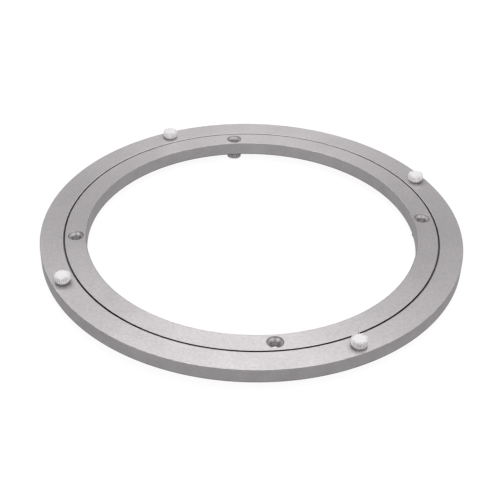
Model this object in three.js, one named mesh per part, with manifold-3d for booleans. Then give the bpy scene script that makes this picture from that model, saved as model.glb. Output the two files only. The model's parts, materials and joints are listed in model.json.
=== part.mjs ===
// Turntable ring bearing: two flush aluminium rings with one row of steel balls between them, carried in a
// nylon retainer. Four soft feet under the inner ring stand on the table, and four soft pads on the outer
// ring carry the tray that turns.
//
// Millimetres, +Z up. The origin is on the bearing's axis, in the plane that the feet stand on, and the
// inner ring's screw holes lie on the X and Y axes.

import * as THREE from "three";
import { mergeVertices } from "three/addons/utils/BufferGeometryUtils.js";
import Module from "manifold-3d";

const wasm = await Module();
wasm.setup();

// ---- Driving dimensions ----

const OUTER_RADIUS = 125;
const BORE_RADIUS = 98.1;
const PITCH_RADIUS = 110.85; // of the row of balls, and of the middle of the gap between the rings
const RING_HEIGHT = 8.5;
const RING_GAP = 0.95; // between the rings, at their faces
const RING_SIDES = 96;

const BALL_DIAMETER = 4;
const BALL_COUNT = 36;
const RACE_CLEARANCE = 0.14; // between a ball and the bottom of its groove
const GROOVE_STEPS = 6; // flats that make up the groove's arc
const CAVITY_WIDTH = 2.4; // the space for the retainer, between the rings
const CAVITY_HEIGHT = 6.3;

const RETAINER_THICKNESS = 1.6;
const RETAINER_HEIGHT = 5.9;
const RETAINER_SIDES = 72;
const RETAINER_SPLIT = 2; // width of the split that lets the band be laid into the race
const POCKET_DIAMETER = 4.5;
const POCKET_SIDES = 12;

const HOLE_COUNT = 4; // screw holes in each ring
const INNER_HOLE_RADIUS = 104.1; // from the bearing's axis
const OUTER_HOLE_RADIUS = 118.55;
const OUTER_HOLE_LEAD = THREE.MathUtils.degToRad(21.2); // at rest, from the X axis
const HOLE_DIAMETER = 5.5;
const COUNTERSINK_DIAMETER = 9.2; // at the face; the cone is 90 degrees
const HOLE_SIDES = 20;

const HEAD_DIAMETER = 9.4; // of the push-in pads and feet
const HEAD_HEIGHT = 4.6;
const HEAD_WAIST_DIAMETER = 8; // where the head meets the ring
const HEAD_FACE_DIAMETER = 7.2; // the flat that carries the load
const HEAD_RIM = 0.9; // height of the rounded rim below that flat
const STEM_DIAMETER = 4.9;
const STEM_LENGTH = 2.6;
const TIP_DIAMETER = 4;
const TIP_LENGTH = 1.3; // beyond the stem, tapered
const TIP_CHAMFER = 0.4;
const SEAT_GAP = 0.1; // between a head and the face it is pushed against
const BUMPER_SIDES = 20;

// ---- Heights that follow ----

const RING_BOTTOM = HEAD_HEIGHT + SEAT_GAP;
const RING_MIDDLE = RING_BOTTOM + RING_HEIGHT / 2;
const RING_TOP = RING_BOTTOM + RING_HEIGHT;

// ---- Materials ----

const aluminium = (name) =>
  new THREE.MeshStandardMaterial({ name, color: 0xbfbcbd, metalness: 0.9, roughness: 0.45 });

const innerAluminium = aluminium("inner_ring_aluminium");
const outerAluminium = aluminium("outer_ring_aluminium");
const whiteSoftPlastic = new THREE.MeshStandardMaterial({
  name: "white_soft_plastic",
  color: 0xf1efed,
  metalness: 0,
  roughness: 0.6,
});
const nylon = new THREE.MeshStandardMaterial({
  name: "nylon",
  color: 0x303030,
  metalness: 0,
  roughness: 0.5,
});
const steel = new THREE.MeshStandardMaterial({
  name: "bearing_steel",
  color: 0xc8c9cc,
  metalness: 1,
  roughness: 0.12,
});

// ---- Solids: geometry in, geometry out, with manifold-3d doing the cuts ----

function toSolid(geometry) {
  const bare = geometry.clone();
  bare.deleteAttribute("normal");
  bare.deleteAttribute("uv");
  const merged = mergeVertices(bare, 1e-4);
  return new wasm.Manifold(
    new wasm.Mesh({
      numProp: 3,
      vertProperties: new Float32Array(merged.attributes.position.array),
      triVerts: new Uint32Array(merged.index.array),
    }),
  );
}

function toGeometry(solid) {
  const mesh = solid.getMesh();
  const geometry = new THREE.BufferGeometry();
  geometry.setAttribute("position", new THREE.BufferAttribute(mesh.vertProperties, mesh.numProp));
  geometry.setIndex(new THREE.BufferAttribute(mesh.triVerts, 1));
  return geometry;
}

const cut = (geometry, tools) =>
  toGeometry(tools.reduce((solid, tool) => solid.subtract(toSolid(tool)), toSolid(geometry)));

// A solid of revolution about +Z from [radius, height] points, given anticlockwise with the radius to the
// right and the height up. A profile off the axis is closed on itself.
function revolve(profile, sides) {
  const points = profile.map(([radius, height]) => new THREE.Vector2(radius, height));
  if (points[0].x > 0) points.push(points[0].clone());
  const geometry = new THREE.LatheGeometry(points, sides);
  geometry.rotateX(Math.PI / 2);
  geometry.rotateZ(Math.PI / 2);
  return geometry;
}

const onCircle = (radius, angle, height) =>
  new THREE.Vector3(radius * Math.cos(angle), radius * Math.sin(angle), height);

// ---- Rings ----

// One side of the race, from the top of the rings down to their bottom: a lip at each face, the retainer's
// cavity behind it, and the balls' groove at mid-height. side is -1 for the inner ring and +1 for the outer.
function raceProfile(side) {
  const grooveRadius = BALL_DIAMETER / 2 + RACE_CLEARANCE;
  const lip = PITCH_RADIUS + (side * RING_GAP) / 2;
  const wall = PITCH_RADIUS + (side * CAVITY_WIDTH) / 2;
  const reach = Math.acos(CAVITY_WIDTH / 2 / grooveRadius);
  const groove = Array.from({ length: GROOVE_STEPS + 1 }, (_, i) => {
    const angle = reach - (2 * reach * i) / GROOVE_STEPS;
    return [
      PITCH_RADIUS + side * grooveRadius * Math.cos(angle),
      RING_MIDDLE + grooveRadius * Math.sin(angle),
    ];
  });
  return [
    [lip, RING_TOP],
    [lip, RING_MIDDLE + CAVITY_HEIGHT / 2],
    [wall, RING_MIDDLE + CAVITY_HEIGHT / 2],
    ...groove,
    [wall, RING_MIDDLE - CAVITY_HEIGHT / 2],
    [lip, RING_MIDDLE - CAVITY_HEIGHT / 2],
    [lip, RING_BOTTOM],
  ];
}

// A countersunk screw hole through a ring, with its head end up. Both ends run past the ring.
function countersunkHole() {
  const margin = 1;
  const bore = HOLE_DIAMETER / 2;
  const sink = COUNTERSINK_DIAMETER / 2;
  return revolve(
    [
      [0, -RING_HEIGHT / 2 - margin],
      [bore, -RING_HEIGHT / 2 - margin],
      [bore, RING_HEIGHT / 2 - (sink - bore)],
      [sink + margin, RING_HEIGHT / 2 + margin],
      [0, RING_HEIGHT / 2 + margin],
    ],
    HOLE_SIDES,
  );
}

const holeAngles = (lead) =>
  Array.from({ length: HOLE_COUNT }, (_, i) => lead + (2 * Math.PI * i) / HOLE_COUNT);

function screwHoles(radius, lead, headUp) {
  return holeAngles(lead).map((angle) => {
    const hole = countersunkHole();
    if (!headUp) hole.rotateX(Math.PI);
    hole.rotateZ(angle);
    hole.translate(...onCircle(radius, angle, RING_MIDDLE));
    return hole;
  });
}

function innerRing() {
  const blank = revolve(
    [[BORE_RADIUS, RING_TOP], [BORE_RADIUS, RING_BOTTOM], ...raceProfile(-1).reverse()],
    RING_SIDES,
  );
  return cut(blank, screwHoles(INNER_HOLE_RADIUS, 0, true));
}

function outerRing() {
  const blank = revolve(
    [...raceProfile(1), [OUTER_RADIUS, RING_BOTTOM], [OUTER_RADIUS, RING_TOP]],
    RING_SIDES,
  );
  return cut(blank, screwHoles(OUTER_HOLE_RADIUS, OUTER_HOLE_LEAD, false));
}

// ---- Retainer and balls ----

const ballAngle = (i) => (2 * Math.PI * i) / BALL_COUNT;

function ballPocket(angle) {
  const pocket = new THREE.CylinderGeometry(
    POCKET_DIAMETER / 2,
    POCKET_DIAMETER / 2,
    4 * RETAINER_THICKNESS,
    POCKET_SIDES,
  );
  pocket.rotateZ(Math.PI / 2);
  pocket.rotateZ(angle);
  pocket.translate(...onCircle(PITCH_RADIUS, angle, RING_MIDDLE));
  return pocket;
}

// The split lies half-way between two pockets.
function retainerSplit() {
  const angle = (ballAngle(0) + ballAngle(1)) / 2;
  const split = new THREE.BoxGeometry(4 * RETAINER_THICKNESS, RETAINER_SPLIT, 2 * RETAINER_HEIGHT);
  split.rotateZ(angle);
  split.translate(...onCircle(PITCH_RADIUS, angle, RING_MIDDLE));
  return split;
}

function retainer() {
  const inside = PITCH_RADIUS - RETAINER_THICKNESS / 2;
  const outside = PITCH_RADIUS + RETAINER_THICKNESS / 2;
  const band = revolve(
    [
      [inside, RING_MIDDLE - RETAINER_HEIGHT / 2],
      [outside, RING_MIDDLE - RETAINER_HEIGHT / 2],
      [outside, RING_MIDDLE + RETAINER_HEIGHT / 2],
      [inside, RING_MIDDLE + RETAINER_HEIGHT / 2],
    ],
    RETAINER_SIDES,
  );
  const pockets = Array.from({ length: BALL_COUNT }, (_, i) => ballPocket(ballAngle(i)));
  return cut(band, [...pockets, retainerSplit()]);
}

const ball = () => new THREE.IcosahedronGeometry(BALL_DIAMETER / 2, 1);

// ---- Push-in pads and feet ----

// A bumper as it stands on the outer ring: the head above z = 0, which is where it is seated, and the stem
// below. The same moulding turned over is a foot.
function bumper() {
  const face = HEAD_FACE_DIAMETER / 2;
  const rim = HEAD_DIAMETER / 2;
  return revolve(
    [
      [0, -STEM_LENGTH - TIP_LENGTH],
      [TIP_DIAMETER / 2 - TIP_CHAMFER, -STEM_LENGTH - TIP_LENGTH],
      [TIP_DIAMETER / 2, -STEM_LENGTH - TIP_LENGTH + TIP_CHAMFER],
      [STEM_DIAMETER / 2, -STEM_LENGTH],
      [STEM_DIAMETER / 2, 0],
      [HEAD_WAIST_DIAMETER / 2, 0],
      [rim, HEAD_HEIGHT - 2 * HEAD_RIM],
      [rim, HEAD_HEIGHT - HEAD_RIM],
      [face, HEAD_HEIGHT],
      [0, HEAD_HEIGHT],
    ],
    BUMPER_SIDES,
  );
}

// ---- Assembly ----

function piece(name, geometry, material, position) {
  const mesh = new THREE.Mesh(geometry, material);
  mesh.name = name;
  if (position) mesh.position.copy(position);
  return mesh;
}

function padsOnOuterRing() {
  return holeAngles(OUTER_HOLE_LEAD).map((angle, i) => {
    const seat = onCircle(OUTER_HOLE_RADIUS, angle, RING_TOP + SEAT_GAP);
    return piece(`top_pad_${i + 1}`, bumper(), whiteSoftPlastic, seat);
  });
}

function feetUnderInnerRing() {
  return holeAngles(0).map((angle, i) => {
    const seat = onCircle(INNER_HOLE_RADIUS, angle, RING_BOTTOM - SEAT_GAP);
    const foot = piece(`foot_${i + 1}`, bumper(), whiteSoftPlastic, seat);
    foot.rotation.x = Math.PI;
    return foot;
  });
}

function rowOfBalls() {
  return Array.from({ length: BALL_COUNT }, (_, i) => {
    const name = `ball_${String(i + 1).padStart(2, "0")}`;
    return piece(name, ball(), steel, onCircle(PITCH_RADIUS, ballAngle(i), RING_MIDDLE));
  });
}

function group(...pieces) {
  const held = new THREE.Group();
  held.add(...pieces);
  return held;
}

const standing = group(
  piece("inner_ring", innerRing(), innerAluminium),
  ...feetUnderInnerRing(),
);
const turning = group(
  piece("outer_ring", outerRing(), outerAluminium),
  ...padsOnOuterRing(),
);
const rolling = group(piece("ball_retainer", retainer(), nylon), ...rowOfBalls());

export default group(standing, turning, rolling);
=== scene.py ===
"""Looks of the turntable ring bearing: two blasted aluminium rings, eight fluted push-in bumpers,
a nylon retainer and its steel balls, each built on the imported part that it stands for. Metres,
+Z up."""

import json
import math

import bpy
from mathutils import Matrix, Vector


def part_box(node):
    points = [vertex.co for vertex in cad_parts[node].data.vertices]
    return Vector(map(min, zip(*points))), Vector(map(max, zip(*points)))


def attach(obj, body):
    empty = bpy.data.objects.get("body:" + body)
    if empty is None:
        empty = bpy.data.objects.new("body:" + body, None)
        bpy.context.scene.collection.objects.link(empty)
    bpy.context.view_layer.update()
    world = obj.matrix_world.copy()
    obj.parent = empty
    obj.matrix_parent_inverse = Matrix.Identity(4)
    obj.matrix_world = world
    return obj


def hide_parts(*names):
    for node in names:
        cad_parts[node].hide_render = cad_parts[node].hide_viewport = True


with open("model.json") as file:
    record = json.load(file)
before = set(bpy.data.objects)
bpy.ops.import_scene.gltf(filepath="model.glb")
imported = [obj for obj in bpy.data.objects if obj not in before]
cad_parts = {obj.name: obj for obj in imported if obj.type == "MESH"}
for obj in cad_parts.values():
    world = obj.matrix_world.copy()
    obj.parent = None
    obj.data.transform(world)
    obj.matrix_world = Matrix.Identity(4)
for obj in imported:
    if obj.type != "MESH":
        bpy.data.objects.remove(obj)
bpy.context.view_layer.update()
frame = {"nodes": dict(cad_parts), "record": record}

MM = 0.001

# ---- Camera and studio ----

CAMERA_AZIMUTH = math.radians(-7.47)  # it looks along +Y turned by this
CAMERA_ELEVATION = math.radians(35.0)
CAMERA_DISTANCE = 0.610  # from the middle of the rings' top plane
CAMERA_AIM = [math.radians(a) for a in (0.104, -1.316, 1.432)]  # turned right, down and rolled
CAMERA_LENS, CAMERA_SENSOR = 73.41, 36  # millimetres
FLOOR_HALF = 4  # half the floor's side
SOFTBOX_DISTANCE, SOFTBOX_SIDE = 1.6, 1  # from the origin, and along each edge

# ---- Sizes of the fine shapes ----

RING_STEPS = 480  # round a ring
HOLE_STEPS = 96
RETAINER_STEPS = 360
POCKET_STEPS = 48
BALL_STEPS = 16  # along each edge of the cube that a ball is made from
GROOVE_STEPS = 16
ARC_STEPS = 6  # in a rounded corner
SUPPORT = 0.12 * MM  # width of the narrow face beside each rounded corner

OUTER_EDGE = 0.35 * MM  # radius of the rings' broken edges
INNER_LIP_EDGE = 0.08 * MM  # of the two edges that face each other across the gap
OUTER_LIP_EDGE = 0.3 * MM
HOLE_EDGE = 0.12 * MM  # width of the chamfer at a screw hole's ends
HOLE_RADIUS = 2.75 * MM
SINK_RADIUS = 4.6 * MM  # of the countersink, at the ring's face

RACE_CLEARANCE = 0.14 * MM  # between a ball and the bottom of its groove
RETAINER_PLAY = (0.4 * MM, 0.2 * MM)  # to the race's walls, and to its top and bottom
RETAINER_EDGE = 0.15 * MM
POCKET_RADIUS = 2.25 * MM
SPLIT_WIDTH = 2 * MM

FLUTES = 22
FLUTE_STEPS = 10  # round each flute
BUMPER_STEP = 0.45 * MM  # the longest step along a bumper's outline
FLUTE_DEPTH = 0.95 * MM


# ---- What the frame says ----

def radii(node):
    """(smallest, largest) distance of a node's vertices from the bearing's axis."""
    away = [v.co.xy.length for v in frame["nodes"][node].data.vertices]
    return min(away), max(away)


def middle(node):
    low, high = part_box(node)
    return (low + high) / 2


def numbered(prefix):
    """The nodes called prefix and a number, in order."""
    return sorted(n for n in frame["nodes"] if n.startswith(prefix) and n[len(prefix):].isdigit())


BODY_OF = {n: b for b, nodes in frame["record"]["behaviour"]["bodies"].items() for n in nodes}

BORE, INNER_LIP = radii("inner_ring")
OUTER_LIP, RIM = radii("outer_ring")
PITCH = (INNER_LIP + OUTER_LIP) / 2  # radius of the row of balls
RING_BOTTOM, RING_TOP = (corner.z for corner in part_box("inner_ring"))
RING_MIDDLE = (RING_BOTTOM + RING_TOP) / 2
BALLS = numbered("ball_")
BALL_RADIUS = (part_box("ball_01")[1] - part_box("ball_01")[0]).z / 2
RETAINER_IN, RETAINER_OUT = radii("ball_retainer")
RETAINER_BOTTOM, RETAINER_TOP = (corner.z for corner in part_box("ball_retainer"))

HEAD_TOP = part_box("top_pad_1")[1].z - RING_TOP
STEM_END = RING_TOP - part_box("top_pad_1")[0].z
HEAD_RADIUS = (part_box("top_pad_1")[1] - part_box("top_pad_1")[0]).x / 2


# ---- Node materials ----

class Nodes:
    """Short calls for building one material's node tree."""

    def __init__(self, name):
        self.material = bpy.data.materials.new(name)
        self.material.use_nodes = True
        self.tree = self.material.node_tree
        self.shader = self.tree.nodes["Principled BSDF"]
        coordinates = self.add("ShaderNodeTexCoord")
        self.place = coordinates.outputs["Object"]

    def add(self, kind, **settings):
        node = self.tree.nodes.new(kind)
        for key, value in settings.items():
            setattr(node, key, value)
        return node

    def put(self, value, socket):
        """A number, colour or other node's output goes into a socket."""
        if isinstance(value, bpy.types.NodeSocket):
            self.tree.links.new(value, socket)
        else:
            socket.default_value = value

    def set(self, **inputs):
        for key, value in inputs.items():
            self.put(value, self.shader.inputs[key.replace("_", " ")])

    def noise(self, size, detail=2.0, rough=0.5, at=None):
        """Noise from 0 to 1 whose grains are about size metres across."""
        node = self.add("ShaderNodeTexNoise")
        self.put(at or self.place, node.inputs["Vector"])
        node.inputs["Scale"].default_value = 1 / size
        node.inputs["Detail"].default_value = detail
        node.inputs["Roughness"].default_value = rough
        return node.outputs["Fac"]

    def between(self, value, low, high, lowest=0.0, highest=1.0):
        """value's stretch from lowest to highest, spread over low to high."""
        node = self.add("ShaderNodeMapRange")
        self.put(value, node.inputs["Value"])
        ends = {"From Min": lowest, "From Max": highest, "To Min": low, "To Max": high}
        for key, number in ends.items():
            node.inputs[key].default_value = number
        return node.outputs["Result"]

    def math(self, operation, a, b=0.0):
        node = self.add("ShaderNodeMath", operation=operation)
        self.put(a, node.inputs[0])
        self.put(b, node.inputs[1])
        return node.outputs[0]

    def mix(self, share, a, b):
        """Colour a where share is 0, and b where it is 1."""
        node = self.add("ShaderNodeMix", data_type="RGBA")
        self.put(share, node.inputs["Factor"])
        for place, colour in ((6, a), (7, b)):  # the node's two colour inputs
            self.put(colour, node.inputs[place])
        return node.outputs[2]

    def bump(self, height, depth, strength, over=None):
        node = self.add("ShaderNodeBump")
        node.inputs["Strength"].default_value = strength
        node.inputs["Distance"].default_value = depth
        self.put(height, node.inputs["Height"])
        if over:
            self.put(over, node.inputs["Normal"])
        return node.outputs["Normal"]

    def turn_about_z(self, vector, angle):
        node = self.add("ShaderNodeVectorRotate", rotation_type="Z_AXIS")
        self.put(vector, node.inputs["Vector"])
        node.inputs["Angle"].default_value = angle
        return node.outputs[0]

    def round_the_axis(self):
        """The direction round the bearing's axis, for grain that was turned or brushed that way."""
        return self.add("ShaderNodeTangent", direction_type="RADIAL", axis="Z").outputs[0]

    def from_axis(self):
        """(distance from the bearing's axis, height)."""
        split = self.add("ShaderNodeSeparateXYZ")
        self.put(self.place, split.inputs[0])
        x, y, z = split.outputs
        return self.length(x, y), z

    def length(self, x, y):
        squares = self.math("ADD", self.math("MULTIPLY", x, x), self.math("MULTIPLY", y, y))
        return self.math("SQRT", squares)


SILVER = 0.45  # how much light the blasted and anodised aluminium gives back
TINT = (1.03, 0.985, 0.997)  # anodising's faint warmth


def silver(share):
    return (*(SILVER * share * t for t in TINT), 1.0)


def turned_grain(n, along, amount=0.6):
    """Gloss that spreads across the marks of turning, which run along that direction."""
    quarter_turn = 0.25
    n.set(Anisotropic=amount, Anisotropic_Rotation=quarter_turn, Tangent=along)


def blasted_aluminium(name):
    """The rings' flat faces: fine blasted grain under clear anodising, cloudy by a few per cent."""
    n = Nodes(name)
    cloud = n.noise(22 * MM, detail=3)
    mottle = n.noise(1.5 * MM, detail=3, rough=0.7)
    grain = n.noise(0.3 * MM, detail=2)
    tone = n.mix(n.between(cloud, 0, 1, 0.35, 0.65), silver(0.965), silver(1.035))
    tone = n.mix(n.between(mottle, 0.0, 0.42, 0.32, 0.72), tone, silver(0.66))
    tone = n.mix(n.between(grain, 0.0, 0.25, 0.6, 0.85), tone, silver(0.4))
    n.set(Base_Color=tone, Metallic=1.0, Roughness=n.between(mottle, 0.44, 0.53, 0.3, 0.7))
    turned_grain(n, n.round_the_axis())
    rough = n.bump(mottle, 0.02 * MM, 0.35)
    n.set(Normal=n.bump(grain, 0.012 * MM, 0.6, over=rough))
    return n.material


def turned_aluminium(name):
    """The rings' round walls: fine lines left by turning, under the same anodising. Their lowest
    millimetre darkens towards the bottom edge as painted shade."""
    n = Nodes(name)
    across, height = n.from_axis()
    lines_at = n.add("ShaderNodeCombineXYZ")
    n.put(across, lines_at.inputs[0])
    n.put(height, lines_at.inputs[2])
    lines = n.noise(0.5 * MM, detail=4, rough=0.75, at=lines_at.outputs[0])
    cloud = n.noise(9 * MM, detail=3)
    speckle = n.noise(1.2 * MM, detail=3)
    tone = n.mix(n.between(cloud, 0, 1, 0.35, 0.65), silver(0.80), silver(0.88))
    tone = n.mix(n.between(lines, 0.0, 0.22, 0.35, 0.7), tone, silver(0.6))
    tone = n.mix(n.between(speckle, 0.0, 0.2, 0.35, 0.7), tone, silver(0.55))
    # painted shade: the walls darken towards their bottom edge
    shade = n.between(height, 0.5, 0.0, RING_BOTTOM + 0.2 * MM, RING_BOTTOM + 1.0 * MM)
    tone = n.mix(shade, tone, silver(0.2))
    n.set(Base_Color=tone, Metallic=1.0, Roughness=n.between(speckle, 0.40, 0.50, 0.3, 0.7))
    n.set(Specular_Tint=(0.7, 0.7, 0.7, 1))
    turned_grain(n, n.round_the_axis())
    n.set(Normal=n.bump(lines, 0.012 * MM, 0.5))
    return n.material


def edge_aluminium(name, dull, bright):
    """The broken edges: smoother than the faces, where handling has rubbed the blasted skin. dull
    and bright set the tone's range; the darker rim and low-edge copies are painted shade.
    """
    n = Nodes(name)
    rub = n.noise(2.5 * MM, detail=4, rough=0.6)
    tone = n.mix(n.between(rub, 0, 1, 0.35, 0.65), silver(dull), silver(bright))
    n.set(Base_Color=tone, Metallic=1.0, Roughness=n.between(rub, 0.42, 0.30, 0.35, 0.65))
    return n.material


def race_aluminium(name):
    """The race inside the rings: ground, bare and greasy."""
    n = Nodes(name)
    film = n.noise(3 * MM, detail=3)
    tone = n.mix(film, (0.13, 0.12, 0.10, 1), (0.22, 0.21, 0.20, 1))
    n.set(Base_Color=tone, Metallic=1.0, Roughness=n.between(film, 0.22, 0.38))
    turned_grain(n, n.round_the_axis())
    return n.material


def lip_painted_shade(name):
    """The faces of the running gap: near black, as painted shade for the deep gap."""
    n = Nodes(name)
    film = n.noise(1.2 * MM, detail=3)
    tone = n.mix(film, (0.012, 0.011, 0.010, 1), (0.03, 0.027, 0.024, 1))
    n.set(Base_Color=tone, Roughness=n.between(film, 0.45, 0.7), Specular_IOR_Level=0.2)
    return n.material


def drilled_aluminium(name, circle, lead):
    """The walls of the screw holes: the same anodising over the rings that the countersink left.
    The four holes are on a circle of that radius, and the first is lead radians past the X axis."""
    n = Nodes(name)
    square = n.turn_about_z(n.place, -lead)
    split = n.add("ShaderNodeSeparateXYZ")
    n.put(square, split.inputs[0])
    x, y, height = split.outputs
    on_x = n.math("GREATER_THAN", n.math("ABSOLUTE", x), n.math("ABSOLUTE", y))
    on_y = n.math("SUBTRACT", 1.0, on_x)

    def from_hole(along, here):
        """along, measured from the middle of the nearest hole."""
        middle_at = n.math("MULTIPLY", n.math("SIGN", along), n.math("MULTIPLY", here, circle))
        return n.math("SUBTRACT", along, middle_at)

    x, y = from_hole(x, on_x), from_hole(y, on_y)
    across = n.length(x, y)
    around = n.add("ShaderNodeCombineXYZ")
    n.put(n.math("MULTIPLY", y, -1.0), around.inputs[0])
    n.put(x, around.inputs[1])
    grain = n.add("ShaderNodeVectorMath", operation="NORMALIZE")
    n.put(n.turn_about_z(around.outputs[0], lead), grain.inputs[0])
    rings_at = n.add("ShaderNodeCombineXYZ")
    n.put(height, rings_at.inputs[2])
    rings = n.noise(0.9 * MM, detail=1, at=rings_at.outputs[0])
    ringed = n.between(rings, 0, 1, 0.38, 0.62)
    cone = n.mix(ringed, (0.17, 0.16, 0.165, 1), (0.42, 0.40, 0.405, 1))
    # painted light: the deep bore, which lies in shade, is given a lighter tone than the
    # countersink's cone
    bore_painted_light = n.mix(ringed, (0.28, 0.27, 0.275, 1), (0.5, 0.48, 0.485, 1))
    deep = n.between(across, 1, 0, HOLE_RADIUS, HOLE_RADIUS + 0.6 * MM)
    n.set(Base_Color=n.mix(deep, cone, bore_painted_light), Metallic=0.7, Roughness=0.42)
    turned_grain(n, grain.outputs[0], 0.5)
    n.set(Normal=n.bump(rings, 0.05 * MM, 0.8))
    return n.material


def white_plastic(name, face, side):
    """Soft white moulded plastic with a satin skin. face and side are how much light those two give
    back: the face is set darker than the side as painted light, the flutes and the foot of the head
    carry painted shade, and the stem is lightened as painted light."""
    n = Nodes(name)
    skin = n.noise(0.22 * MM, detail=2)
    cloud = n.noise(3 * MM, detail=2)
    split = n.add("ShaderNodeSeparateXYZ")
    n.put(n.place, split.inputs[0])
    x, y, z = split.outputs
    across = n.length(x, y)
    turn = n.math("MULTIPLY", n.math("ARCTAN2", y, x), FLUTES)
    groove = n.between(n.math("COSINE", turn), 0, 0.7, 0.2, 1)
    # painted shade: the flutes darken towards the rim and down the side
    flute_painted_shade = n.math("MULTIPLY", groove, n.between(across, 0, 1, 3.5 * MM, 4.2 * MM))
    flute_painted_shade = n.math("MULTIPLY", flute_painted_shade, n.between(z, 0.35, 1, 1.0 * MM, 2.6 * MM))

    def white(share):
        return (share, 0.98 * share, 0.985 * share, 1)

    # painted shade: the head darkens towards the ring it stands on
    tone = n.mix(n.between(z, 0, 1, 0.2 * MM, 2.0 * MM), white(0.4 * side), white(side))
    # painted light: the top face is set to its own, darker level than the sides
    tone = n.mix(n.between(z, 0, 1, HEAD_TOP - 0.6 * MM, HEAD_TOP - 0.1 * MM), tone, white(face))
    tone = n.mix(n.between(cloud, 0.0, 0.3, 0.4, 0.7), tone, white(0.85 * face))
    tone = n.mix(flute_painted_shade, tone, white(0.5 * side))
    # painted light: the stem, deep in its hole, is lightened
    tone = n.mix(n.between(z, 1, 0, -0.5 * MM, 0.3 * MM), tone, white(0.95))
    n.set(Base_Color=tone, Roughness=n.between(skin, 0.42, 0.55))
    n.set(Normal=n.bump(skin, 0.01 * MM, 0.5))
    n.set(Subsurface_Weight=0.2, Subsurface_Radius=(1.0, 0.9, 0.8), Subsurface_Scale=0.6 * MM)
    return n.material


def black_nylon(name):
    """Black moulded nylon under a film of grease."""
    n = Nodes(name)
    flow = n.noise(4 * MM, detail=3)
    skin = n.noise(0.18 * MM, detail=2)
    tone = n.mix(flow, (0.018, 0.018, 0.019, 1), (0.034, 0.033, 0.032, 1))
    n.set(Base_Color=tone, Roughness=n.between(skin, 0.30, 0.46))
    n.set(Normal=n.bump(skin, 0.008 * MM, 0.5))
    n.set(Coat_Weight=n.between(flow, 0.1, 0.5), Coat_Roughness=0.2)
    return n.material


def bearing_steel(name):
    """Polished chrome steel with the dull track that rolling wears round each ball."""
    n = Nodes(name)
    split = n.add("ShaderNodeSeparateXYZ")
    n.put(n.place, split.inputs[0])
    up = n.math("ABSOLUTE", split.outputs[2])
    track = n.between(up, 1.0, 0.0, 0.2 * MM, 0.5 * MM)
    haze = n.noise(0.3 * MM, detail=3)
    tone = n.mix(track, (0.60, 0.61, 0.63, 1), (0.50, 0.50, 0.51, 1))
    n.set(Base_Color=tone, Metallic=1.0)
    n.set(Roughness=n.math("ADD", n.between(haze, 0.05, 0.10), n.math("MULTIPLY", track, 0.16)))
    return n.material


# ---- Mesh building ----

ON_AXIS = 1e-9  # a radius up to this is on the axis


def fillet(before, corner, after, radius):
    """The points of a round of that radius in a corner, with a support point on each side."""
    if not radius:
        return [corner]
    a, b = (before - corner).normalized(), (after - corner).normalized()
    half = a.angle(b) / 2
    along = radius / math.tan(half)
    centre = corner + (a + b).normalized() * radius / math.sin(half)
    start, end = corner + a * along - centre, corner + b * along - centre
    turn = start.angle_signed(end)
    arc = [centre + Matrix.Rotation(-turn * i / ARC_STEPS, 2) @ start for i in range(ARC_STEPS + 1)]
    return [arc[0] + a * SUPPORT, *arc, arc[-1] + b * SUPPORT]


def outline(corners, closed=True):
    """(points, slots): a profile from (radius, height, fillet, slot) corners. slot is the material
    of the stretch that leaves the corner. A fifth value is the slot of the corner's round, or else
    that is EDGE."""
    places = [Vector(c[:2]) for c in corners]
    points, slots = [], []
    for i, (_, _, radius, slot, *own) in enumerate(corners):
        ends = not closed and i in (0, len(corners) - 1)
        before, after = places[i - 1], places[(i + 1) % len(corners)]
        made = [places[i]] if ends else fillet(before, places[i], after, radius)
        last = corners[i - 1][3]
        points += made
        slots += [slot] if len(made) == 1 else [last, *(own or [EDGE]) * ARC_STEPS, slot, slot]
    return points, slots


def turned(name, points, slots, steps, materials, shape=None):
    """A surface of revolution about Z. A profile off the axis closes on itself, and one that starts
    on the axis ends on it. shape(angle, radius, height) may alter a point's radius and height."""
    shape = shape or (lambda angle, radius, height: (radius, height))
    closed = points[0].x > ON_AXIS
    vertices, rings = [], []
    for radius, height in points:
        on_axis = radius <= ON_AXIS
        first = len(vertices)
        rings.append([first] * steps if on_axis else range(first, first + steps))
        for k in range(1 if on_axis else steps):
            angle = 2 * math.pi * k / steps
            r, z = shape(angle, radius, height)
            vertices.append((r * math.cos(angle), r * math.sin(angle), z))
    faces, face_slots = [], []
    for i in range(len(points) if closed else len(points) - 1):
        low, high = rings[i], rings[(i + 1) % len(points)]
        for k in range(steps):
            m = (k + 1) % steps
            corners = [low[k], low[m], high[m], high[k]]
            faces.append(list(dict.fromkeys(corners)))
            face_slots.append(slots[i])
    mesh = bpy.data.meshes.new(name)
    mesh.from_pydata(vertices, [], faces)
    for material in materials:
        mesh.materials.append(material)
    mesh.polygons.foreach_set("material_index", face_slots)
    return mesh


def smooth(mesh, sharp_degrees=20):
    mesh.polygons.foreach_set("use_smooth", [True] * len(mesh.polygons))
    mesh.set_sharp_from_angle(angle=math.radians(sharp_degrees))
    mesh.update()
    return mesh


def add_object(name, mesh, at=(0, 0, 0), turn=None):
    piece = bpy.data.objects.new(name, mesh)
    piece.matrix_world = Matrix.Translation(at) @ (turn or Matrix.Identity(4))
    bpy.context.scene.collection.objects.link(piece)
    return piece


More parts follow.
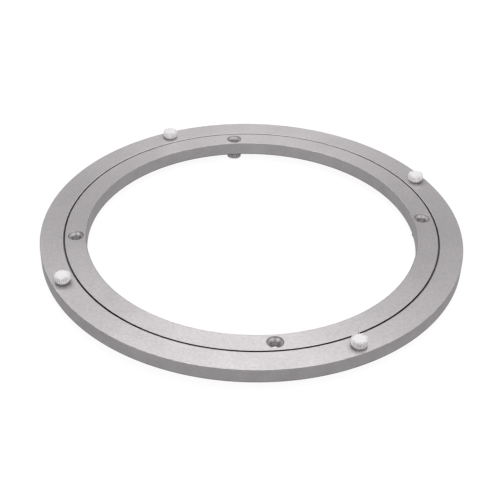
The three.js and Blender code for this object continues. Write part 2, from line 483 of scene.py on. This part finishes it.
def cut(mesh, cutters):
    """The mesh with the cutters' shapes taken out. The cut faces keep the cutters' material."""
    blank = add_object(mesh.name + "_blank", mesh)
    tools = [
        add_object(f"{mesh.name}_tool_{i}", tool, at, turn)
        for i, (tool, at, turn) in enumerate(cutters)
    ]
    held = bpy.data.collections.new(mesh.name + "_tools")
    for tool in tools:
        held.objects.link(tool)
    step = blank.modifiers.new("cut", "BOOLEAN")
    step.operation, step.solver, step.material_mode = "DIFFERENCE", "MANIFOLD", "TRANSFER"
    step.operand_type, step.collection = "COLLECTION", held
    bpy.context.view_layer.update()
    evaluated = blank.evaluated_get(bpy.context.evaluated_depsgraph_get())
    made = bpy.data.meshes.new_from_object(evaluated)
    for each in [blank, *tools]:
        bpy.data.objects.remove(each)
    bpy.data.collections.remove(held)
    made.name = mesh.name
    return made


def stand_for(node, piece):
    """The piece rides on the node's body and replaces it."""
    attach(piece, BODY_OF[node])
    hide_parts(node)


# ---- Rings ----

FACE, EDGE, WALL, RACE, LIP, SHADED_RIM_EDGE, SHADED_LOW_EDGE = range(7)  # a ring's material slots
CAVITY = (  # half width, half height
    PITCH - RETAINER_IN + RETAINER_PLAY[0],
    (RETAINER_TOP - RETAINER_BOTTOM) / 2 + RETAINER_PLAY[1],
)
GROOVE_RADIUS = BALL_RADIUS + RACE_CLEARANCE
LEDGE_EDGE = 0.05 * MM  # radius of the corners where the lips meet the cavity
CAVITY_EDGE = 0.1 * MM  # of the corners inside it


def race(side):
    """The corners of one ring's side of the race, from its top lip down. side is -1 for the inner
    ring and +1 for the outer."""
    lip = PITCH + side * (OUTER_LIP - PITCH)
    edge = OUTER_LIP_EDGE if side > 0 else INNER_LIP_EDGE
    wall = PITCH + side * CAVITY[0]
    reach = math.acos(CAVITY[0] / GROOVE_RADIUS)
    groove = []
    for i in range(GROOVE_STEPS + 1):
        angle = reach - 2 * reach * i / GROOVE_STEPS
        radius = PITCH + side * GROOVE_RADIUS * math.cos(angle)
        groove.append((radius, RING_MIDDLE + GROOVE_RADIUS * math.sin(angle), 0, RACE))
    return [
        (lip, RING_TOP, edge, LIP),
        (lip, RING_MIDDLE + CAVITY[1], LEDGE_EDGE, RACE),
        (wall, RING_MIDDLE + CAVITY[1], CAVITY_EDGE, RACE),
        *groove,
        (wall, RING_MIDDLE - CAVITY[1], CAVITY_EDGE, RACE),
        (lip, RING_MIDDLE - CAVITY[1], LEDGE_EDGE, LIP),
        (lip, RING_BOTTOM, edge, FACE),
    ]


def backwards(corners, last_slot):
    """The same stretch of outline walked backwards: each slot moves to the corner that leads."""
    slots = [c[3] for c in corners]
    return [(*c[:3], s, *c[4:]) for c, s in zip(corners[::-1], [*slots[:-1][::-1], last_slot])]


def screw_hole(material):
    """A tool for a countersunk hole along Z, head end up, that also breaks the hole's edges. Its
    middle is the ring's middle, and its ends run past the ring's faces."""
    half = (RING_TOP - RING_BOTTOM) / 2
    past = 1 * MM
    blend, rise = 0.1 * MM, 0.03 * MM  # of the soft corner between the hole and its countersink
    ledge = half - (SINK_RADIUS - HOLE_RADIUS)
    points = [
        Vector(p)
        for p in (
            (0, -half - past),
            (HOLE_RADIUS + HOLE_EDGE + past, -half - past),
            (HOLE_RADIUS + HOLE_EDGE, -half),
            (HOLE_RADIUS, -half + HOLE_EDGE),
            (HOLE_RADIUS, ledge - blend),
            (HOLE_RADIUS + rise, ledge),
            (HOLE_RADIUS + blend, ledge + blend),
            (SINK_RADIUS - HOLE_EDGE, half - HOLE_EDGE),
            (SINK_RADIUS + HOLE_EDGE, half),
            (SINK_RADIUS + HOLE_EDGE + 2 * past, half + past),
            (0, half + past),
        )
    ]
    return turned("screw_hole", points, [0] * len(points), HOLE_STEPS, [material])


def ring(name, corners, hole_nodes, head_up, materials):
    """A ring turned from its outline, with a screw hole where each of the hole nodes is."""
    points, slots = outline(corners)
    blank = turned(name, points, slots, RING_STEPS, materials)
    first = middle(hole_nodes[0])
    drilled = drilled_aluminium(name + "_drilled", first.xy.length, math.atan2(first.y, first.x))
    hole = screw_hole(drilled)
    flip = None if head_up else Matrix.Rotation(math.pi, 4, "X")
    holes = [(hole, (*middle(node).xy, RING_MIDDLE), flip) for node in hole_nodes]
    mesh = smooth(cut(blank, holes))
    stand_for(name, add_object(name + "_body", mesh))


def build_rings():
    materials = [
        blasted_aluminium("blasted_aluminium"),
        edge_aluminium("edge_aluminium", 0.85, 1.1),
        turned_aluminium("turned_aluminium"),
        race_aluminium("race_aluminium"),
        # painted shade: the lips of the running gap are near black
        lip_painted_shade("lip_painted_shade"),
        # painted shade: darker copies of the edge finish for the top outer edges and the bottom
        # edges
        edge_aluminium("rim_edge_painted_shade", 0.6, 0.8),
        edge_aluminium("low_edge_painted_shade", 0.25, 0.4),
    ]
    inner = [
        (BORE, RING_TOP, OUTER_EDGE, WALL, SHADED_RIM_EDGE),
        (BORE, RING_BOTTOM, OUTER_EDGE, FACE, SHADED_LOW_EDGE),
        *backwards(race(-1), FACE),
    ]
    outer = [
        *race(1),
        (RIM, RING_BOTTOM, OUTER_EDGE, WALL, SHADED_LOW_EDGE),
        (RIM, RING_TOP, OUTER_EDGE, FACE, SHADED_RIM_EDGE),
    ]
    ring("inner_ring", inner, numbered("foot_"), True, materials)
    ring("outer_ring", outer, numbered("top_pad_"), False, materials)


# ---- Bumpers ----

def bumper_mesh(material):
    """A pad standing on z = 0 with its stem below: a fluted head, drawn in where it meets the ring,
    and a stem with two soft barbs and a blunt tip."""
    outer = HEAD_RADIUS
    corners = [  # radius, height, fillet
        (0, -STEM_END, 0),
        (1.75 * MM, -STEM_END, 0.35 * MM),
        (2.0 * MM, -STEM_END + 0.5 * MM, 0.3 * MM),
        (2.42 * MM, -STEM_END + 1.0 * MM, 0.15 * MM),
        (2.62 * MM, -STEM_END + 1.35 * MM, 0.12 * MM),
        (2.42 * MM, -STEM_END + 1.65 * MM, 0.1 * MM),
        (2.42 * MM, -0.9 * MM, 0.1 * MM),
        (2.6 * MM, -0.65 * MM, 0.12 * MM),
        (2.42 * MM, -0.4 * MM, 0.1 * MM),
        (2.42 * MM, 0.02 * MM, 0.05 * MM),
        (outer - 0.75 * MM, 0.02 * MM, 0.15 * MM),
        (outer - 0.15 * MM, 1.4 * MM, 1.0 * MM),
        (outer, 2.8 * MM, 1.2 * MM),
        (outer - 0.1 * MM, HEAD_TOP - 0.05 * MM, 0.4 * MM),
        (0, HEAD_TOP, 0),
    ]
    points, _ = outline([(*c, 0) for c in corners], closed=False)
    points = finer(points, BUMPER_STEP)

    def fluted(angle, radius, height):
        groove = ((1 + math.cos(FLUTES * angle)) / 2) ** 1.5
        up = smoothstep(0.8 * MM, HEAD_TOP - 1.2 * MM, height)
        out = smoothstep(outer - 1.5 * MM, outer - 0.3 * MM, radius)
        depth = FLUTE_DEPTH * groove * up * out
        return radius - depth, height - 0.9 * depth

    mesh = turned("bumper", points, [0] * len(points), FLUTES * FLUTE_STEPS, [material], fluted)
    return smooth(mesh, sharp_degrees=60)


def smoothstep(low, high, value):
    t = min(max((value - low) / (high - low), 0), 1)
    return t * t * (3 - 2 * t)


def finer(points, most):
    """The outline with points added so that no step is longer than most."""
    made = [points[0]]
    for a, b in zip(points, points[1:]):
        parts = math.ceil((b - a).length / most)
        made += [a.lerp(b, (k + 1) / parts) for k in range(parts)]
    return made


# painted light and shade: the pads' face is set darker and their sides lighter, and the feet, which
# sit in shade under the ring, get darker sides
PAD_PAINTED_LIGHT = {"face": 0.59, "side": 0.98}
FOOT_PAINTED_SHADE = {"face": 0.6, "side": 0.7}
PAD_TURN, FOOT_TURN = 0.9, 0.7  # radians from each to the next, as they were pushed in


def build_bumpers():
    pad = bumper_mesh(white_plastic("white_soft_plastic", **PAD_PAINTED_LIGHT))
    foot = bumper_mesh(white_plastic("shaded_soft_plastic", **FOOT_PAINTED_SHADE))
    for i, node in enumerate(numbered("top_pad_")):
        at = (*middle(node).xy, RING_TOP)
        turn = Matrix.Rotation(PAD_TURN * i, 4, "Z")
        stand_for(node, add_object(node + "_moulding", pad, at, turn))
    for i, node in enumerate(numbered("foot_")):
        at = (*middle(node).xy, RING_BOTTOM)
        over = Matrix.Rotation(FOOT_TURN * i, 4, "Z") @ Matrix.Rotation(math.pi, 4, "X")
        stand_for(node, add_object(node + "_moulding", foot, at, over))


# ---- Retainer and balls ----

def pocket_cutter(material):
    """A round tool along Z whose ends flare, so that each pocket's rim is chamfered."""
    half = (RETAINER_OUT - RETAINER_IN) / 2
    flare = 0.15 * MM
    points = [
        Vector(p)
        for p in (
            (0, -half - MM),
            (POCKET_RADIUS + flare + MM, -half - MM),
            (POCKET_RADIUS + flare, -half),
            (POCKET_RADIUS, -half + flare),
            (POCKET_RADIUS, half - flare),
            (POCKET_RADIUS + flare, half),
            (POCKET_RADIUS + flare + MM, half + MM),
            (0, half + MM),
        )
    ]
    return turned("pocket", points, [0] * len(points), POCKET_STEPS, [material])


def split_cutter(material):
    """A block for the split: SPLIT_WIDTH along Y, and past the band's section along X and Z."""
    x, y, z = 2 * (RETAINER_OUT - RETAINER_IN), SPLIT_WIDTH / 2, RETAINER_TOP - RETAINER_BOTTOM
    corners = [(sx * x, sy * y, sz * z) for sx in (-1, 1) for sy in (-1, 1) for sz in (-1, 1)]
    faces = [(0, 1, 3, 2), (4, 6, 7, 5), (0, 4, 5, 1), (2, 3, 7, 6), (0, 2, 6, 4), (1, 5, 7, 3)]
    mesh = bpy.data.meshes.new("split")
    mesh.from_pydata(corners, [], faces)
    mesh.materials.append(material)
    return mesh


def build_retainer():
    material = black_nylon("black_nylon")
    corners = [
        (RETAINER_IN, RETAINER_BOTTOM, RETAINER_EDGE, 0),
        (RETAINER_OUT, RETAINER_BOTTOM, RETAINER_EDGE, 0),
        (RETAINER_OUT, RETAINER_TOP, RETAINER_EDGE, 0),
        (RETAINER_IN, RETAINER_TOP, RETAINER_EDGE, 0),
    ]
    points, _ = outline(corners)
    band = turned("ball_retainer", points, [0] * len(points), RETAINER_STEPS, [material])
    pocket, split = pocket_cutter(material), split_cutter(material)
    lie_down = Matrix.Rotation(math.pi / 2, 4, "Y")
    tools = []
    for node in BALLS:
        at = middle(node)
        tools.append((pocket, at, Matrix.Rotation(math.atan2(at.y, at.x), 4, "Z") @ lie_down))
    between = math.pi / len(BALLS)  # half-way from the first ball to the second
    at = (PITCH * math.cos(between), PITCH * math.sin(between), RING_MIDDLE)
    tools.append((split, at, Matrix.Rotation(between, 4, "Z")))
    mesh = smooth(cut(band, tools))
    stand_for("ball_retainer", add_object("retainer_band", mesh))


def ball_mesh(material):
    """A sphere made from a cube's faces, so that its quads are even all over."""
    steps = BALL_STEPS
    vertices, faces = {}, []

    def vertex(*grid):
        if grid not in vertices:
            place = Vector(math.tan(math.pi / 4 * (2 * g / steps - 1)) for g in grid)
            vertices[grid] = (len(vertices), place.normalized() * BALL_RADIUS)
        return vertices[grid][0]

    for axis in range(3):
        for end in (0, steps):
            for i in range(steps):
                for j in range(steps):
                    square = []
                    for a, b in ((i, j), (i + 1, j), (i + 1, j + 1), (i, j + 1)):
                        grid = [a, b]
                        grid.insert(axis, end)
                        square.append(vertex(*grid))
                    outwards = (end == steps) != (axis == 1)
                    faces.append(square if outwards else square[::-1])
    mesh = bpy.data.meshes.new("ball")
    mesh.from_pydata([place for _, place in vertices.values()], [], faces)
    mesh.materials.append(material)
    return smooth(mesh, sharp_degrees=60)


def build_balls():
    mesh = ball_mesh(bearing_steel("polished_bearing_steel"))
    for node in BALLS:
        stand_for(node, add_object(node + "_steel", mesh, middle(node)))


# ---- Studio ----

def add_camera():
    data = bpy.data.cameras.new("camera")
    data.lens, data.sensor_width = CAMERA_LENS, CAMERA_SENSOR
    data.clip_start, data.clip_end = 0.01, 20
    camera = bpy.data.objects.new("camera", data)
    bpy.context.scene.collection.objects.link(camera)
    right, down, roll = CAMERA_AIM
    tilt = Matrix.Rotation(math.pi / 2 - CAMERA_ELEVATION, 4, "X")
    orbit = Matrix.Rotation(CAMERA_AZIMUTH, 4, "Z") @ tilt
    back = Matrix.Translation((0, 0, CAMERA_DISTANCE))
    aim = Matrix.Rotation(right, 4, "Y") @ Matrix.Rotation(down, 4, "X")
    aim = aim @ Matrix.Rotation(roll, 4, "Z")
    camera.matrix_world = Matrix.Translation((0, 0, RING_TOP)) @ orbit @ back @ aim
    bpy.context.scene.camera = camera


def add_floor():
    n = Nodes("pale_floor")
    n.set(Base_Color=(0.1, 0.1, 0.1, 1), Roughness=0.9, Specular_IOR_Level=0.05)
    n.set(Emission_Color=(1, 1, 1, 1), Emission_Strength=0.92)
    mesh = bpy.data.meshes.new("floor")
    corners = [(x * FLOOR_HALF, y * FLOOR_HALF, 0) for x, y in ((-1, -1), (1, -1), (1, 1), (-1, 1))]
    mesh.from_pydata(corners, [], [(0, 1, 2, 3)])
    mesh.materials.append(n.material)
    floor = add_object("floor", mesh)
    floor.visible_glossy = floor.visible_diffuse = False


def add_softbox(name, azimuth, elevation, power):
    """A soft area light. azimuth is in degrees from the camera's, clockwise as seen from above."""
    data = bpy.data.lights.new(name, "AREA")
    data.shape, data.size, data.energy = "SQUARE", SOFTBOX_SIDE, power
    light = bpy.data.objects.new(name, data)
    bpy.context.scene.collection.objects.link(light)
    a, e = CAMERA_AZIMUTH - math.radians(azimuth), math.radians(elevation)
    back = Vector((math.sin(a) * math.cos(e), -math.cos(a) * math.cos(e), math.sin(e)))
    light.location = back * SOFTBOX_DISTANCE
    light.rotation_euler = back.to_track_quat("Z", "Y").to_euler()


ROOM = [  # (sine of elevation, level)
    (-1, 0.35),
    (-0.84, 0.35),
    (-0.68, 0.93),
    (-0.07, 0.93),
    (0.0, 0.4),
    (0.17, 0.4),
    (0.34, 0.02),
]


def add_world():
    """A pale room: its walls' lower part, which the object's walls mirror, and a dim upper part."""
    world = bpy.data.worlds.new("studio")
    world.use_nodes = True
    bpy.context.scene.world = world
    world.cycles_visibility.diffuse = False
    tree = world.node_tree
    background = tree.nodes["Background"]
    coordinates = tree.nodes.new("ShaderNodeTexCoord")
    split = tree.nodes.new("ShaderNodeSeparateXYZ")
    spread = tree.nodes.new("ShaderNodeMapRange")
    spread.inputs["From Min"].default_value = -1
    ramp = tree.nodes.new("ShaderNodeValToRGB")
    tree.links.new(coordinates.outputs["Generated"], split.inputs[0])
    tree.links.new(split.outputs[2], spread.inputs["Value"])
    tree.links.new(spread.outputs["Result"], ramp.inputs["Fac"])
    tree.links.new(ramp.outputs["Color"], background.inputs["Color"])
    stops = ramp.color_ramp.elements
    while len(stops) < len(ROOM):
        stops.new(0.5)
    for stop, (height, level) in zip(stops, ROOM):
        stop.position, stop.color = (height + 1) / 2, (level, level, level, 1)
    background.inputs["Strength"].default_value = 1.0


SOFTBOXES = [  # name, azimuth, elevation, watts
    ("front_fill", 0, 12, 4.0),
    ("front_left", 45, 35, 9.74),
    ("front_right", 315, 35, 6.94),
    ("right_low", 270, 35, 2.0),
    ("right_high", 270, 60, 3.54),
    ("back_left_low", 135, 35, 4.24),
    ("back_left_high", 135, 60, 4.86),
    ("back", 180, 60, 6.62),
    ("back_right_low", 225, 35, 3.52),
    ("back_right_high", 225, 60, 2.48),
    ("overhead", 0, 90, 9.38),
]


def build_studio():
    add_world()
    add_floor()
    for name, azimuth, elevation, power in SOFTBOXES:
        add_softbox(name, azimuth, elevation, power)
    bpy.context.scene.view_settings.view_transform = "Standard"


build_rings()
build_bumpers()
build_retainer()
build_balls()
build_studio()
add_camera()
